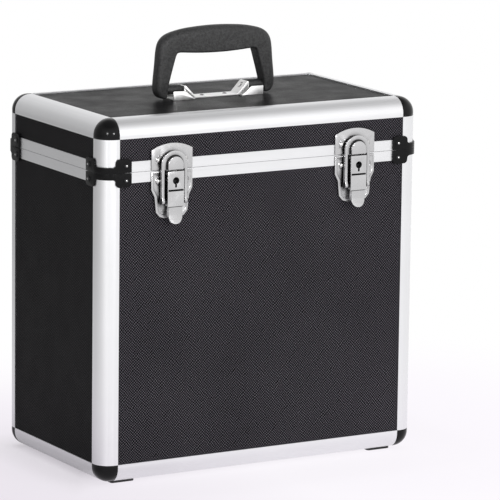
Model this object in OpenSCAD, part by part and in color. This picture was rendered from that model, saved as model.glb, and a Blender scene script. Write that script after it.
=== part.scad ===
// Record carrying case: laminated boards held in quarter-round aluminium edges, a hinged lid,
// two draw latches with key locks, a fold-down carrying handle and four feet.
// The origin is on the floor under the middle of the case, +Z is up and the latches face -Y.

/* [Case] */
// Outside width of the shell, left to right
case_w = 360; // [320:1:460]
// Outside depth of the shell, front to back
case_d = 206; // [170:1:400]
// Height of the shell, without the feet
case_h = 361; // [240:1:480]
// Height of the lid, from the closing line to the top
lid_h = 52; // [46:1:90]
// Thickness of the laminated board of the panels
board_t = 6; // [4:0.5:9]

/* [Aluminium edges] */
// Width of each flange that shows on a face
edge_leg = 19; // [18:0.5:26]
// Outside radius of the rounded edge
edge_r = 16; // [10:0.5:16]
// Thickness of the aluminium over the board
skin_t = 1.2; // [0.8:0.1:1.6]
// Thickness of the inner lip that holds the board
inner_lip_t = 1.2; // [0.8:0.1:2]
// How far a board reaches into its edge channel
board_grip = 6; // [4:0.5:7]
// Height of each closing profile on the outside
rim_h = 10.5; // [8:0.5:14]
// Height of the dust lip that stands up inside the lid
dust_lip_h = 4; // [2:0.5:6]
// Gap between the two closing profiles
closing_gap = 0.3; // [0.2:0.05:0.6]

/* [Corner guards] */
// Thickness of a plastic guard over the metal
guard_t = 1.8; // [1.2:0.1:3]
// Height of the rib that runs round the corner
guard_rib_h = 5.6; // [4:0.2:8]
// Height of an ear, from the closing line
guard_ear_h = 13.4; // [11:0.2:18]
// Width of an ear
guard_ear_w = 17; // [13:0.5:18]
// How far a guard reaches past the edge profile
guard_reach = 12.2; // [10:0.2:14]
// Gap between the closing line and a guard
guard_gap = 0.5; // [0.3:0.1:1]

/* [Feet and lining] */
// Thickness of a foot under the shell
foot_t = 2.5; // [1.5:0.5:8]
// Side of a square foot
foot_w = 26; // [18:1:34]
// Distance from a foot to the front face
foot_inset_y = 14; // [12:0.5:22]
// Distance from a foot to the side face
foot_inset_x = 19; // [12:0.5:30]
// Thickness of the foam on the walls and base
lining_t = 2.5; // [1.5:0.5:5]
// Thickness of the foam pad under the lid
lid_pad_t = 8; // [4:0.5:14]

/* [Latches] */
// Distance from the case's side to the middle of a latch
latch_inset = 76; // [60:0.5:100]
// Width of the two latch plates
latch_w = 45.5; // [42:0.5:52]
// Height of the catch plate over the closing line
catch_h = 26.2; // [24:0.2:30]
// Length of the base plate below the closing line
base_len = 47.5; // [44:0.5:54]
// Thickness of the stamped latch plates
plate_t = 1.2; // [1:0.1:1.5]
// Width of the lever
lever_w = 18; // [16:0.2:19]
// How far the face of the lever stands off the case
lever_proud = 9.5; // [9.2:0.1:11]
// Length of the finger tongue below the lever
tongue_len = 17; // [12:0.5:22]
// Radius of the pins in the latch
latch_pin_r = 1.5; // [1.2:0.05:1.6]
// Distance between the lever pin and the loop pin
loop_reach = 27.5; // [26:0.5:30]
// Outside width of the draw loop
loop_w = 28; // [27:0.2:30]
// Radius of the round part of the keyhole
keyhole_r = 3.5; // [2:0.1:4]
// Travel of the lock bolt
bolt_travel = 2.5; // [1.5:0.1:3]
// Radial clearance of the running pins
pin_clear = 0.05; // [0.03:0.01:0.09]

/* [Handle] */
// Overall length of the handle
handle_len = 136; // [124:1:160]
// Height of the grip's crown above the lid
handle_h = 72.5; // [64:0.5:85]
// Depth of the grip, top to underside, at the middle
grip_depth = 27.5; // [23:0.5:32]
// Thickness of the grip, front to back
grip_t = 16; // [13:0.5:17]
// Width of a leg seen from the front
leg_w = 13; // [11:0.5:16]
// Height of the handle's pivot above the lid
pivot_h = 9.4; // [9:0.1:11]
// Radius of the handle's pivot pins
handle_pin_r = 2.5; // [2:0.1:3]
// Width of the steel bracket, front to back
bracket_w = 23; // [20:0.5:28]
// Height of the troughs at the bracket's ends
trough_h = 9; // [7:0.1:11]
// Width of the strap between the troughs
strap_w = 15; // [12:0.5:18]
// Thickness of the strap
strap_t = 2; // [1.6:0.1:2.6]
// Thickness of the trough's steel
bracket_t = 1.2; // [1:0.1:1.6]

/* [Hinges] */
// Distance from the case's side to the middle of a hinge
hinge_inset = 85; // [60:1:110]
// Width of a hinge
hinge_w = 40; // [32:1:48]
// Length of a hinge leaf from the pin
hinge_leaf = 28; // [24:1:30]
// Thickness of a hinge leaf
hinge_t = 1.5; // [1.2:0.1:2]
// Outside radius of a hinge knuckle
knuckle_r = 3.8; // [3:0.1:4.4]
// Radius of a hinge pin
hinge_pin_r = 1.5; // [1.2:0.1:1.8]

/* [Rivets] */
// Radius of a rivet's shank
rivet_r = 1.5; // [1.2:0.1:1.8]
// Radius of a rivet's domed head
rivet_head_r = 2.6; // [2.2:0.1:3]
// Radius of the smaller heads on the corner guards
guard_rivet_head_r = 2; // [1.8:0.1:2.6]
// Height of a rivet's domed head
rivet_head_h = 1.1; // [0.8:0.1:1.6]

/* [Hidden] */
$fn = 48;

// Heights: shell bottom, closing line and shell top
shell_z = foot_t;
top_z = shell_z + case_h;
close_z = top_z - lid_h;
half_w = case_w / 2;
half_d = case_d / 2;

// The aluminium profile, measured inward from the outside faces
inner_face = skin_t + board_t + inner_lip_t;
board_end = edge_leg - board_grip;
far = 1000;
eps = 0.01;

// Closing profiles
rim_web_t = 1.5;
half_gap = closing_gap / 2;
dust_lip_t = 1.2;
dust_lip_clear = 0.4;
dust_lip_in = inner_face + dust_lip_clear;

// Linings
lining_clear = 0.3;
lining_out = inner_face + lining_clear;
lining_top = close_z - rim_h - lining_clear;

// Guards and their rivets
guard_in = edge_leg + guard_reach;
guard_rivet_in = guard_in - 6;
guard_rivet_h = guard_gap + guard_ear_h / 2;
guard_boss_r = guard_rivet_head_r + 1;
guard_boss_t = 0.5;
shank_len = skin_t + board_t;

// Latch places: h is measured up from the closing line, p out from the front face
latch_x = half_w - latch_inset;
lever_top_h = -0.6;
slit_h = 1.6;
lever_pin_h = -3;
latch_pin_p = 5.2;
loop_pin_h = lever_pin_h - loop_reach;
lever_flat_end_h = loop_pin_h - 5;
lever_side_clear = 0.5;
tongue_rim = 3.8;
cheek_p = 2;
arm_back_p = plate_t + rivet_head_h + 0.4;
catch_low_h = 0.4;
base_top_h = -1.3;
latch_rivet_x = latch_w / 2 - 8;
catch_rivet_h = 10.3;
base_rivet_h = -10.7;
base_low_rivet_h = 6.5 - base_len;
face_r = lever_w / 2 - 0.7;
cap_plate_top_h = lever_top_h + slit_h;
arch_h = cap_plate_top_h + 4.6;
loop_back_p = 4.4;
loop_front_p = 6.6;
arm_w = 2.9;
boss_front_p = loop_back_p - 0.5;
boss_low_h = 3.2;
boss_r = loop_w / 2 - arm_w - 1;
keyhole_h = -9.9;
keyhole_slot_w = 2;
keyhole_slot_h = 6.6;
slit_low_h = -19.4;
ear_out = lever_w / 2 - plate_t - lever_side_clear;
bolt_w = 6;
bolt_t = 1.6;
bolt_p = cheek_p + 0.8;
bolt_clear = 0.3;
bolt_len = 9;
bolt_low_h = slit_low_h + 0.4;
bolt_grip = 0.9;
case_half = ear_out - plate_t - lever_side_clear;
lug_top_h = bolt_low_h - bolt_travel + bolt_grip;
lug_t = 1.4;

// Handle places: measured up from the lid's board
lid_face_z = top_z - skin_t;
pivot_z = lid_face_z + pivot_h;
foot_r = pivot_h - 1;
boss_out_r = handle_pin_r + 2.3;
bracket_half = handle_len / 2 - leg_w - 3.5;
trough_l = 14.5;
slope_l = 12;
tab_x = bracket_half - trough_l;
tab_h = pivot_h + handle_pin_r + 1.5;
bracket_rivet_x = 13;
handle_pin_end = handle_len / 2 - 4;
handle_bore_end = handle_pin_end + 0.5;

// Hinge places
hinge_x = half_w - hinge_inset;
hinge_axis_y = half_d + knuckle_r;
knuckle_gap = 0.4;
knuckle_n = 5;
knuckle_w = (hinge_w - (knuckle_n - 1) * knuckle_gap) / knuckle_n;
leaf_start = knuckle_r + knuckle_gap;
hinge_rivet_h = leaf_start + rivet_head_r + 0.4;
hinge_rivet_far = hinge_leaf - 6;

// Colours
alu = [0.86, 0.86, 0.88];
black = [0.08, 0.08, 0.09];
laminate = [0.22, 0.22, 0.24];
nickel = [0.78, 0.77, 0.75];
foam = [0.16, 0.16, 0.17];

// ---------- shared shapes ----------

// A rectangle with four round corners, centred on the origin
module round_rect(w, h, r) {
    square([w, h - 2 * r], center = true);
    square([w - 2 * r, h], center = true);
    for (x = [-1, 1], y = [-1, 1])
        translate([x * (w / 2 - r), y * (h / 2 - r)]) circle(r);
}

// The outline of a shell corner seen along the edge, with both faces running inward
module corner_outline(run) {
    intersection() {
        square(run);
        union() {
            translate([edge_r, edge_r]) circle(edge_r, $fn = 96);
            translate([edge_r, 0]) square(run);
            translate([0, edge_r]) square(run);
        }
    }
}

// The section of an edge profile, with a channel for each board
module edge_section() {
    difference() {
        corner_outline(edge_leg);
        translate([inner_face, inner_face]) square(edge_leg);
        translate([board_end, skin_t]) square([edge_leg, board_t]);
        translate([skin_t, board_end]) square([board_t, edge_leg]);
    }
}

// Puts a shape drawn at the front left vertical edge at one of the four vertical edges
module at_post(sx, sy) {
    mirror([sx > 0 ? 1 : 0, 0, 0]) mirror([0, sy > 0 ? 1 : 0, 0])
        translate([-half_w, -half_d, 0]) children();
}

// Puts a shape drawn at the bottom at the top instead
module at_level(top) {
    translate([0, 0, top ? top_z + shell_z : 0]) mirror([0, 0, top ? 1 : 0]) children();
}

// A domed rivet whose head sits on z = 0 and whose shank runs down
module rivet(shank, head_r = rivet_head_r) {
    dome_r = (pow(head_r, 2) + pow(rivet_head_h, 2)) / (2 * rivet_head_h);
    intersection() {
        translate([0, 0, rivet_head_h - dome_r]) sphere(dome_r);
        cylinder(r = head_r + eps, h = rivet_head_h + eps);
    }
    translate([0, 0, -shank]) cylinder(r = rivet_r, h = shank + rivet_head_h / 2);
}

// Places children on the front or back face: z axis points out of the face
module on_front(x, z, proud = 0) {
    translate([x, -half_d - proud, z]) rotate([90, 0, 0]) children();
}

module on_back(x, z, proud = 0) {
    translate([x, half_d + proud, z]) rotate([-90, 0, 0]) children();
}

module on_side(sx, y, z, proud = 0) {
    translate([sx * (half_w + proud), y, z]) rotate([0, sx * 90, 0]) children();
}

// The rivets of the corner guards, level = 1 over the closing line and -1 under it
module at_guard_rivets(level, proud) {
    rivet_x = half_w - guard_rivet_in;
    rivet_y = half_d - guard_rivet_in;
    z = close_z + level * guard_rivet_h;
    for (s = [-1, 1]) {
        on_front(s * rivet_x, z, proud) children();
        on_back(s * rivet_x, z, proud) children();
        for (t = [-1, 1]) on_side(s, t * rivet_y, z, proud) children();
    }
}

module at_catch_rivets(proud) {
    for (s = [-1, 1], t = [-1, 1])
        on_front(s * latch_x + t * latch_rivet_x, close_z + catch_rivet_h, proud) children();
}

module at_base_rivets(proud) {
    for (s = [-1, 1]) {
        for (t = [-1, 1])
            on_front(s * latch_x + t * latch_rivet_x, close_z + base_rivet_h, proud) children();
        on_front(s * latch_x, close_z + base_low_rivet_h, proud) children();
    }
}

module at_hinge_rivets(level, proud) {
    for (s = [-1, 1], t = [-1, 1], h = [hinge_rivet_h, hinge_rivet_far])
        on_back(s * hinge_x + t * hinge_w / 3, close_z + level * h, proud) children();
}

module at_bracket_rivets() {
    for (s = [-1, 1]) translate([s * bracket_rivet_x, 0, lid_face_z + strap_t]) children();
}

// Holes through the boards and profiles for every rivet of one half of the case
module rivet_holes(level) {
    long = shank_len + guard_t + plate_t + 2;
    at_guard_rivets(level, guard_t) translate([0, 0, -long]) cylinder(r = rivet_r, h = long + 1);
    at_hinge_rivets(level, hinge_t) translate([0, 0, -long]) cylinder(r = rivet_r, h = long + 1);
    if (level > 0)
        at_catch_rivets(plate_t) translate([0, 0, -long]) cylinder(r = rivet_r, h = long + 1);
    if (level < 0)
        at_base_rivets(plate_t) translate([0, 0, -long]) cylinder(r = rivet_r, h = long + 1);
}

// ---------- boards ----------

// A board that stands across the front or back, between two heights
module wall_x(side, low, high, level) {
    y = side * (half_d - skin_t - board_t / 2);
    difference() {
        translate([0, y, (low + high) / 2])
            cube([case_w - 2 * board_end, board_t, high - low], center = true);
        rivet_holes(level);
    }
}

// A board that stands across the left or right, between two heights
module wall_y(side, low, high, level) {
    x = side * (half_w - skin_t - board_t / 2);
    difference() {
        translate([x, 0, (low + high) / 2])
            cube([board_t, case_d - 2 * board_end, high - low], center = true);
        rivet_holes(level);
    }
}

module flat_board(z) {
    translate([0, 0, z])
        cube([case_w - 2 * board_end, case_d - 2 * board_end, board_t], center = true);
}

body_wall_low = shell_z + board_end;
body_wall_high = close_z - half_gap - rim_web_t;
lid_wall_low = close_z + half_gap + rim_web_t;
lid_wall_high = top_z - board_end;

module front_panel() { color(laminate) wall_x(-1, body_wall_low, body_wall_high, -1); }
module back_panel() { color(laminate) wall_x(1, body_wall_low, body_wall_high, -1); }
module left_panel() { color(laminate) wall_y(-1, body_wall_low, body_wall_high, -1); }
module right_panel() { color(laminate) wall_y(1, body_wall_low, body_wall_high, -1); }
module base_panel() { color(laminate) flat_board(shell_z + skin_t + board_t / 2); }
module lid_front_panel() { color(laminate) wall_x(-1, lid_wall_low, lid_wall_high, 1); }
module lid_back_panel() { color(laminate) wall_x(1, lid_wall_low, lid_wall_high, 1); }
module lid_left_panel() { color(laminate) wall_y(-1, lid_wall_low, lid_wall_high, 1); }
module lid_right_panel() { color(laminate) wall_y(1, lid_wall_low, lid_wall_high, 1); }

module top_panel() {
    color(laminate) difference() {
        flat_board(top_z - skin_t - board_t / 2);
        at_bracket_rivets() translate([0, 0, -far]) cylinder(r = rivet_r, h = far);
    }
}

// ---------- aluminium edges ----------

module post(sx, sy, low, high, level) {
    color(alu) difference() {
        at_post(sx, sy) translate([0, 0, low]) linear_extrude(high - low) edge_section();
        rivet_holes(level);
    }
}

module body_post(sx, sy) { post(sx, sy, shell_z + edge_leg, close_z - half_gap, -1); }

module lid_posts() {
    for (sx = [-1, 1], sy = [-1, 1]) post(sx, sy, close_z + half_gap, top_z - edge_leg, 1);
}

// A level edge along the front or back
module edge_x(side, top) {
    run = case_w - 2 * edge_leg;
    color(alu) at_level(top) mirror([0, side > 0 ? 1 : 0, 0])
        translate([-run / 2, -half_d, shell_z]) rotate([90, 0, 90])
            linear_extrude(run) edge_section();
}

// A level edge along the left or right
module edge_y(side, top) {
    run = case_d - 2 * edge_leg;
    color(alu) at_level(top) mirror([side > 0 ? 1 : 0, 0, 0])
        translate([-half_w, run / 2, shell_z]) rotate([90, 0, 0])
            linear_extrude(run) edge_section();
}

// The section of the lower closing profile: x runs inward, y runs up from the closing line
module body_rim_section() {
    translate([0, -rim_h]) square([skin_t, rim_h - half_gap]);
    translate([0, -half_gap - rim_web_t]) square([dust_lip_in + dust_lip_t, rim_web_t]);
    translate([skin_t + board_t, -rim_h])
        square([dust_lip_in + dust_lip_t - skin_t - board_t, rim_h - half_gap]);
    translate([dust_lip_in, -rim_h]) square([dust_lip_t, rim_h + dust_lip_h]);
}

module lid_rim_section() {
    translate([0, half_gap]) square([skin_t, rim_h - half_gap]);
    translate([0, half_gap]) square([inner_face, rim_web_t]);
    translate([skin_t + board_t, half_gap]) square([inner_lip_t, rim_h - half_gap]);
}

// Four lengths of a closing profile, each between two posts
module rim_lengths(level) {
    run_x = case_w - 2 * edge_leg;
    run_y = case_d - 2 * edge_leg;
    color(alu) difference() {
        translate([0, 0, close_z]) for (side = [0, 1]) {
            mirror([0, side, 0]) translate([-run_x / 2, -half_d, 0]) rotate([90, 0, 90])
                linear_extrude(run_x) children();
            mirror([side, 0, 0]) translate([-half_w, run_y / 2, 0]) rotate([90, 0, 0])
                linear_extrude(run_y) children();
        }
        rivet_holes(level);
    }
}

module body_rim() { rim_lengths(-1) body_rim_section(); }
module lid_rim() { rim_lengths(1) lid_rim_section(); }

// ---------- ball corners ----------

// A rounded corner with its three faces running inward, and channels for the three boards
module ball_corner() {
    run = edge_leg;
    long = run - edge_r + eps;
    difference() {
        intersection() {
            cube(run);
            union() {
                translate([edge_r, edge_r, edge_r]) sphere(edge_r, $fn = 64);
                translate([edge_r, edge_r, edge_r]) cylinder(r = edge_r, h = long, $fn = 96);
                translate([edge_r, edge_r, edge_r]) rotate([0, 90, 0])
                    cylinder(r = edge_r, h = long, $fn = 96);
                translate([edge_r, edge_r, edge_r]) rotate([-90, 0, 0])
                    cylinder(r = edge_r, h = long, $fn = 96);
                translate([edge_r, edge_r, 0]) cube(run);
                translate([edge_r, 0, edge_r]) cube(run);
                translate([0, edge_r, edge_r]) cube(run);
            }
        }
        translate([inner_face, inner_face, inner_face]) cube(run);
        translate([board_end, skin_t, board_end]) cube([run, board_t, run]);
        translate([skin_t, board_end, board_end]) cube([board_t, run, run]);
        translate([board_end, board_end, skin_t]) cube([run, run, board_t]);
    }
}

module shell_corner(sx, sy, top) {
    color(black) at_level(top) at_post(sx, sy) translate([0, 0, shell_z]) ball_corner();
}

// ---------- corner guards ----------

// The rib's plan, wrapped round the rounded edge
module guard_rib_plan() {
    difference() {
        union() {
            translate([edge_r, edge_r]) circle(edge_r + guard_t, $fn = 96);
            translate([edge_r, -guard_t]) square([guard_in - edge_r, edge_r]);
            translate([-guard_t, edge_r]) square([edge_r, guard_in - edge_r]);
        }
        corner_outline(far);
    }
}

// One guard under the closing line, at the front left corner, with z = 0 on the line
module guard() {
    translate([0, 0, -guard_gap - guard_rib_h]) linear_extrude(guard_rib_h) guard_rib_plan();
    guard_ear();
    mirror([1, -1, 0]) guard_ear();
}

// An ear seen from the front, with a fillet where it meets the rib
module guard_ear_plan() {
    outer = guard_in - guard_ear_w;
    fillet_r = 3;
    translate([guard_in - guard_ear_w / 2, -guard_ear_h / 2])
        round_rect(guard_ear_w, guard_ear_h, 4);
    translate([outer, -guard_ear_h / 2]) square([guard_ear_w, guard_ear_h / 2]);
    translate([outer - fillet_r, -guard_rib_h - fillet_r]) difference() {
        square(fillet_r + eps);
        circle(fillet_r);
    }
}

// An ear follows the same plan round the edge as the rib
module guard_ear() {
    intersection() {
        translate([0, 0, -guard_gap - guard_ear_h]) linear_extrude(guard_ear_h) guard_rib_plan();
        translate([0, edge_r, -guard_gap]) rotate([90, 0, 0])
            linear_extrude(edge_r + 2 * guard_t) guard_ear_plan();
    }
    translate([guard_rivet_in, 0, -guard_gap - guard_ear_h / 2]) rotate([90, 0, 0])
        cylinder(r = guard_boss_r, h = guard_t + guard_boss_t);
}

module body_guards() {
    color(black) difference() {
        for (sx = [-1, 1], sy = [-1, 1]) at_post(sx, sy) translate([0, 0, close_z]) guard();
        at_guard_rivets(-1, guard_t) translate([0, 0, -guard_t]) cylinder(r = rivet_r, h = far);
    }
}

module lid_guards() {
    color(black) difference() {
        for (sx = [-1, 1], sy = [-1, 1])
            at_post(sx, sy) translate([0, 0, close_z]) mirror([0, 0, 1]) guard();
        at_guard_rivets(1, guard_t) translate([0, 0, -guard_t]) cylinder(r = rivet_r, h = far);
    }
}

// ---------- feet and linings ----------

module feet() {
    foot_x = half_w - foot_inset_x - foot_w / 2;
    foot_y = half_d - foot_inset_y - foot_w / 2;
    color(black) for (sx = [-1, 1], sy = [-1, 1])
        translate([sx * foot_x, sy * foot_y, 0]) linear_extrude(foot_t) round_rect(foot_w, foot_w, 3);
}

// An open box of foam inside the body
module body_lining() {
    low = shell_z + inner_face + lining_clear;
    wide = case_w - 2 * lining_out;
    deep = case_d - 2 * lining_out;
    color(foam) translate([-wide / 2, -deep / 2, low]) difference() {
        cube([wide, deep, lining_top - low]);
        translate([lining_t, lining_t, lining_t])
            cube([wide - 2 * lining_t, deep - 2 * lining_t, far]);
    }
}

// A foam pad under the lid, with foam down its four walls
module lid_lining() {
    low = close_z + rim_h + lining_clear;
    high = top_z - inner_face - lining_clear;
    wide = case_w - 2 * lining_out;
    deep = case_d - 2 * lining_out;
    color(foam) difference() {
        translate([-wide / 2, -deep / 2, low]) cube([wide, deep, high - low]);
        translate([lining_t - wide / 2, lining_t - deep / 2, low - eps])
            cube([wide - 2 * lining_t, deep - 2 * lining_t, high - low - lid_pad_t + eps]);
    }
}

// ---------- rivets ----------

module body_rivets() {
    color(nickel) {
        at_guard_rivets(-1, guard_t + guard_boss_t)
            rivet(guard_t + guard_boss_t + shank_len, guard_rivet_head_r);
        at_base_rivets(plate_t) rivet(plate_t + shank_len);
        at_hinge_rivets(-1, hinge_t) rivet(hinge_t + shank_len);
    }
}

module lid_rivets() {
    color(nickel) {
        at_guard_rivets(1, guard_t + guard_boss_t)
            rivet(guard_t + guard_boss_t + shank_len, guard_rivet_head_r);
        at_catch_rivets(plate_t) rivet(plate_t + shank_len);
        at_hinge_rivets(1, hinge_t) rivet(hinge_t + shank_len);
        at_bracket_rivets() rivet(strap_t + board_t);
    }
}

// ---------- hinges ----------

// One leaf under the pin, with its knuckles, drawn with the pin along x at the origin
module hinge_leaf_shape(first, bore) {
    difference() {
        union() {
            translate([-hinge_w / 2, -knuckle_r, -hinge_leaf])
                cube([hinge_w, hinge_t, hinge_leaf - leaf_start]);
            for (i = [first : 2 : knuckle_n - 1])
                translate([-hinge_w / 2 + i * (knuckle_w + knuckle_gap), 0, 0]) {
                    rotate([0, 90, 0]) cylinder(r = knuckle_r, h = knuckle_w);
                    translate([0, -knuckle_r, -leaf_start - eps])
                        cube([knuckle_w, hinge_t, leaf_start + eps]);
                }
        }
        translate([-hinge_w / 2 - 1, 0, 0]) rotate([0, 90, 0]) cylinder(r = bore, h = hinge_w + 2);
    }
}

module hinge_body_leaves() {
    color(nickel) difference() {
        for (s = [-1, 1]) translate([s * hinge_x, hinge_axis_y, close_z])
            hinge_leaf_shape(0, hinge_pin_r);
        at_hinge_rivets(-1, hinge_t) translate([0, 0, -hinge_t]) cylinder(r = rivet_r, h = far);
    }
}

module hinge_lid_leaves() {
    color(nickel) difference() {
        for (s = [-1, 1]) translate([s * hinge_x, hinge_axis_y, close_z]) mirror([0, 0, 1])
            hinge_leaf_shape(1, hinge_pin_r + pin_clear);
        at_hinge_rivets(1, hinge_t) translate([0, 0, -hinge_t]) cylinder(r = rivet_r, h = far);
    }
}

module hinge_pins() {
    color(nickel) for (s = [-1, 1])
        translate([s * hinge_x - hinge_w / 2, hinge_axis_y, close_z]) rotate([0, 90, 0])
            cylinder(r = hinge_pin_r, h = hinge_w);
}

// ---------- latches ----------

// Places children at a latch: x across, y out of the front face, z up from the closing line
module at_latch(side) {
    translate([side * latch_x, -half_d, close_z]) mirror([0, 1, 0]) children();
}

// Turns a plan drawn in x and h into a plate between two distances off the face
module stand_off(near, out) {
    translate([0, out, 0]) rotate([90, 0, 0]) linear_extrude(out - near) children();
}

// A bar across the latch at a height and a distance off the face
module cross_bar(h, p, r, half) {
    translate([-half, p, h]) rotate([0, 90, 0]) cylinder(r = r, h = 2 * half);
}

// A door shape: straight sides from a low line, and a half round head
module arch(r, low, head) {
    intersection() {
        translate([0, head]) circle(r, $fn = 64);
        translate([-r, head]) square([2 * r, r]);
    }
    translate([-r, low]) square([2 * r, head - low]);
}

catch_rise = 6;
catch_crown_r = (pow(latch_w / 2, 2) + pow(catch_rise, 2)) / (2 * catch_rise);

module catch_plan() {
    intersection() {
        translate([0, catch_h - catch_crown_r]) circle(catch_crown_r, $fn = 128);
        translate([-latch_w / 2, catch_low_h]) square([latch_w, catch_h]);
    }
}

// The catch plate: a flat plate with a pressed boss that the loop's cap closes over
module catch(side) {
    color(nickel) difference() {
        at_latch(side) {
            stand_off(0, plate_t) catch_plan();
            difference() {
                stand_off(plate_t - eps, boss_front_p) arch(boss_r, boss_low_h, arch_h);
                stand_off(-eps, boss_front_p - plate_t)
                    arch(boss_r - plate_t, boss_low_h + plate_t, arch_h);
            }
        }
        at_catch_rivets(plate_t) translate([0, 0, -plate_t]) cylinder(r = rivet_r, h = far);
    }
}

// The base plate's plan: straight sides, a shoulder and a tapering tail
module base_plan() {
    low = -base_len;
    shoulder_h = -19;
    neck = latch_w / 2 - 3.6;
    tail = latch_w / 2 - 5.3;
    right = [
        [tail - 9, low], [tail - 4, low + 1.5], [tail, low + 6], [neck, shoulder_h - 7],
        [latch_w / 2, shoulder_h], [latch_w / 2, base_top_h]
    ];
    left = [for (i = [len(right) - 1 : -1 : 0]) [-right[i][0], right[i][1]]];
    polygon(concat(right, left));
}

// The ears that carry the lever pin, seen from the side
module base_ear_side() {
    ear_r = latch_pin_r + 0.9;
    translate([latch_pin_p, lever_pin_h]) circle(ear_r);
    translate([0, lever_pin_h - ear_r]) square([latch_pin_p, 2 * ear_r]);
}

module latch_base(side) {
    color(nickel) difference() {
        at_latch(side) {
            difference() {
                union() {
                    stand_off(0, plate_t) base_plan();
                    for (s = [-1, 1]) translate([s * (ear_out - plate_t / 2) - plate_t / 2, 0, 0])
                        rotate([90, 0, 90]) linear_extrude(plate_t) base_ear_side();
                    lock_lug();
                }
                cross_bar(lever_pin_h, latch_pin_p, latch_pin_r, latch_w);
            }
        }
        at_base_rivets(plate_t) translate([0, 0, -plate_t]) cylinder(r = rivet_r, h = far);
    }
}

// The lug with the slot that the lock bolt drops into
module lock_lug() {
    half = case_half;
    high_p = bolt_p + bolt_t + bolt_clear + plate_t;
    difference() {
        translate([-half, 0, lug_top_h - lug_t]) cube([2 * half, high_p, lug_t]);
        translate([-bolt_w / 2 - bolt_clear, bolt_p - bolt_clear, lug_top_h - lug_t - 1])
            cube([bolt_w + 2 * bolt_clear, bolt_t + 2 * bolt_clear, lug_t + 2]);
    }
}

module lever_pins() {
    color(nickel) for (s = [-1, 1]) at_latch(s)
        cross_bar(lever_pin_h, latch_pin_p, latch_pin_r, lever_w / 2 + 0.4);
}

// The lever's face, with the keyhole and the slit under it
module lever_face_plan() {
    difference() {
        translate([-lever_w / 2, lever_flat_end_h])
            square([lever_w, lever_top_h - lever_flat_end_h]);
        translate([0, keyhole_h]) circle(keyhole_r);
        translate([-keyhole_slot_w / 2, keyhole_h - keyhole_slot_h])
            square([keyhole_slot_w, keyhole_slot_h]);
        translate([-face_r, slit_low_h - 0.9]) square([2 * face_r, 1.8]);
    }
}

// The tongue seen from the side: back from the fold, then curling out to the tip
module tongue_side(deep) {
    top = lever_flat_end_h;
    p = lever_proud;
    front = [
        [p, top + 1], [p - 0.6, top - 4], [p - 1, top - tongue_len * 0.45],
        [p - 0.1, top - tongue_len * 0.8], [p + 1.4, top - tongue_len - 0.5]
    ];
    back = [for (i = [len(front) - 1 : -1 : 0]) front[i] - [deep, 0]];
    polygon(concat(front, back));
}

module tongue_plan(inset) {
    r = lever_w / 2 - 1.5;
    low = lever_flat_end_h - tongue_len + r;
    translate([0, low]) circle(r - inset, $fn = 64);
    translate([inset - r, low]) square([2 * (r - inset), tongue_len - r + 2]);
}

// The tongue's sheet, or with a ring for its plan the rim that is turned back round it
module tongue_part(deep) {
    intersection() {
        translate([-lever_w, 0, 0]) rotate([90, 0, 90])
            linear_extrude(2 * lever_w) tongue_side(deep);
        stand_off(0, 2 * lever_proud) children();
    }
}

// A cheek of the lever seen from the side
module cheek_side() {
    low = lever_flat_end_h + 1;
    polygon([
        [lever_proud - plate_t, lever_top_h], [cheek_p + 1.5, lever_top_h], [cheek_p, lever_top_h - 2],
        [cheek_p, low + 6], [cheek_p + 2, low], [lever_proud - plate_t, low]
    ]);
}

module lever(side) {
    color(nickel) at_latch(side) difference() {
        union() {
            stand_off(lever_proud - plate_t, lever_proud) lever_face_plan();
            for (s = [-1, 1]) translate([s * (lever_w - plate_t) / 2 - plate_t / 2, 0, 0])
                rotate([90, 0, 90]) linear_extrude(plate_t) cheek_side();
            tongue_part(plate_t + 0.3) tongue_plan(0);
            tongue_part(tongue_rim) difference() {
                tongue_plan(0);
                tongue_plan(plate_t);
            }
            lock_case();
        }
        cross_bar(lever_pin_h, latch_pin_p, latch_pin_r + pin_clear, latch_w);
        cross_bar(loop_pin_h, latch_pin_p, latch_pin_r, latch_w);
    }
}

// The lock's case behind the keyhole, with a channel for the bolt
module lock_case() {
    high = lever_pin_h - latch_pin_r - 0.8;
    low = slit_low_h + 1.6;
    difference() {
        translate([-case_half, cheek_p + 0.2, low])
            cube([2 * case_half, lever_proud - plate_t - cheek_p - 0.2 + eps, high - low]);
        translate([-bolt_w / 2 - bolt_clear, bolt_p - bolt_clear, low - 1])
            cube([bolt_w + 2 * bolt_clear, bolt_t + 2 * bolt_clear, high - low - 0.8 + 1]);
        translate([0, bolt_p + bolt_t, keyhole_h]) rotate([-90, 0, 0])
            cylinder(r = keyhole_r, h = lever_proud);
        translate([-keyhole_slot_w / 2, bolt_p + bolt_t, keyhole_h - keyhole_slot_h])
            cube([keyhole_slot_w, lever_proud, keyhole_slot_h]);
    }
}

module lock_bolt(side) {
    color(nickel) at_latch(side)
        translate([-bolt_w / 2, bolt_p, bolt_low_h]) cube([bolt_w, bolt_t, bolt_len]);
}

module loop_pin(side) {
    head_r = latch_pin_r + 1;
    head_t = 0.8;
    half = loop_w / 2 + 0.15;
    color(nickel) at_latch(side) {
        cross_bar(loop_pin_h, latch_pin_p, latch_pin_r, half);
        for (s = [-1, 1]) translate([s * (half + head_t / 2), 0, 0])
            cross_bar(loop_pin_h, latch_pin_p, head_r, head_t / 2);
    }
}

// An arm of the loop seen from the side, with a round eye for the pin
module arm_side() {
    eye_r = latch_pin_r + 1.2;
    translate([latch_pin_p, loop_pin_h]) circle(eye_r);
    polygon([
        [loop_front_p, arch_h], [loop_front_p, loop_pin_h + 5], [latch_pin_p + 2.4, loop_pin_h + 1.2],
        [latch_pin_p - 2.4, loop_pin_h + 1.2], [arm_back_p, loop_pin_h + 6], [arm_back_p, -2],
        [loop_back_p, cap_plate_top_h + 2], [loop_back_p, arch_h]
    ]);
}

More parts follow.
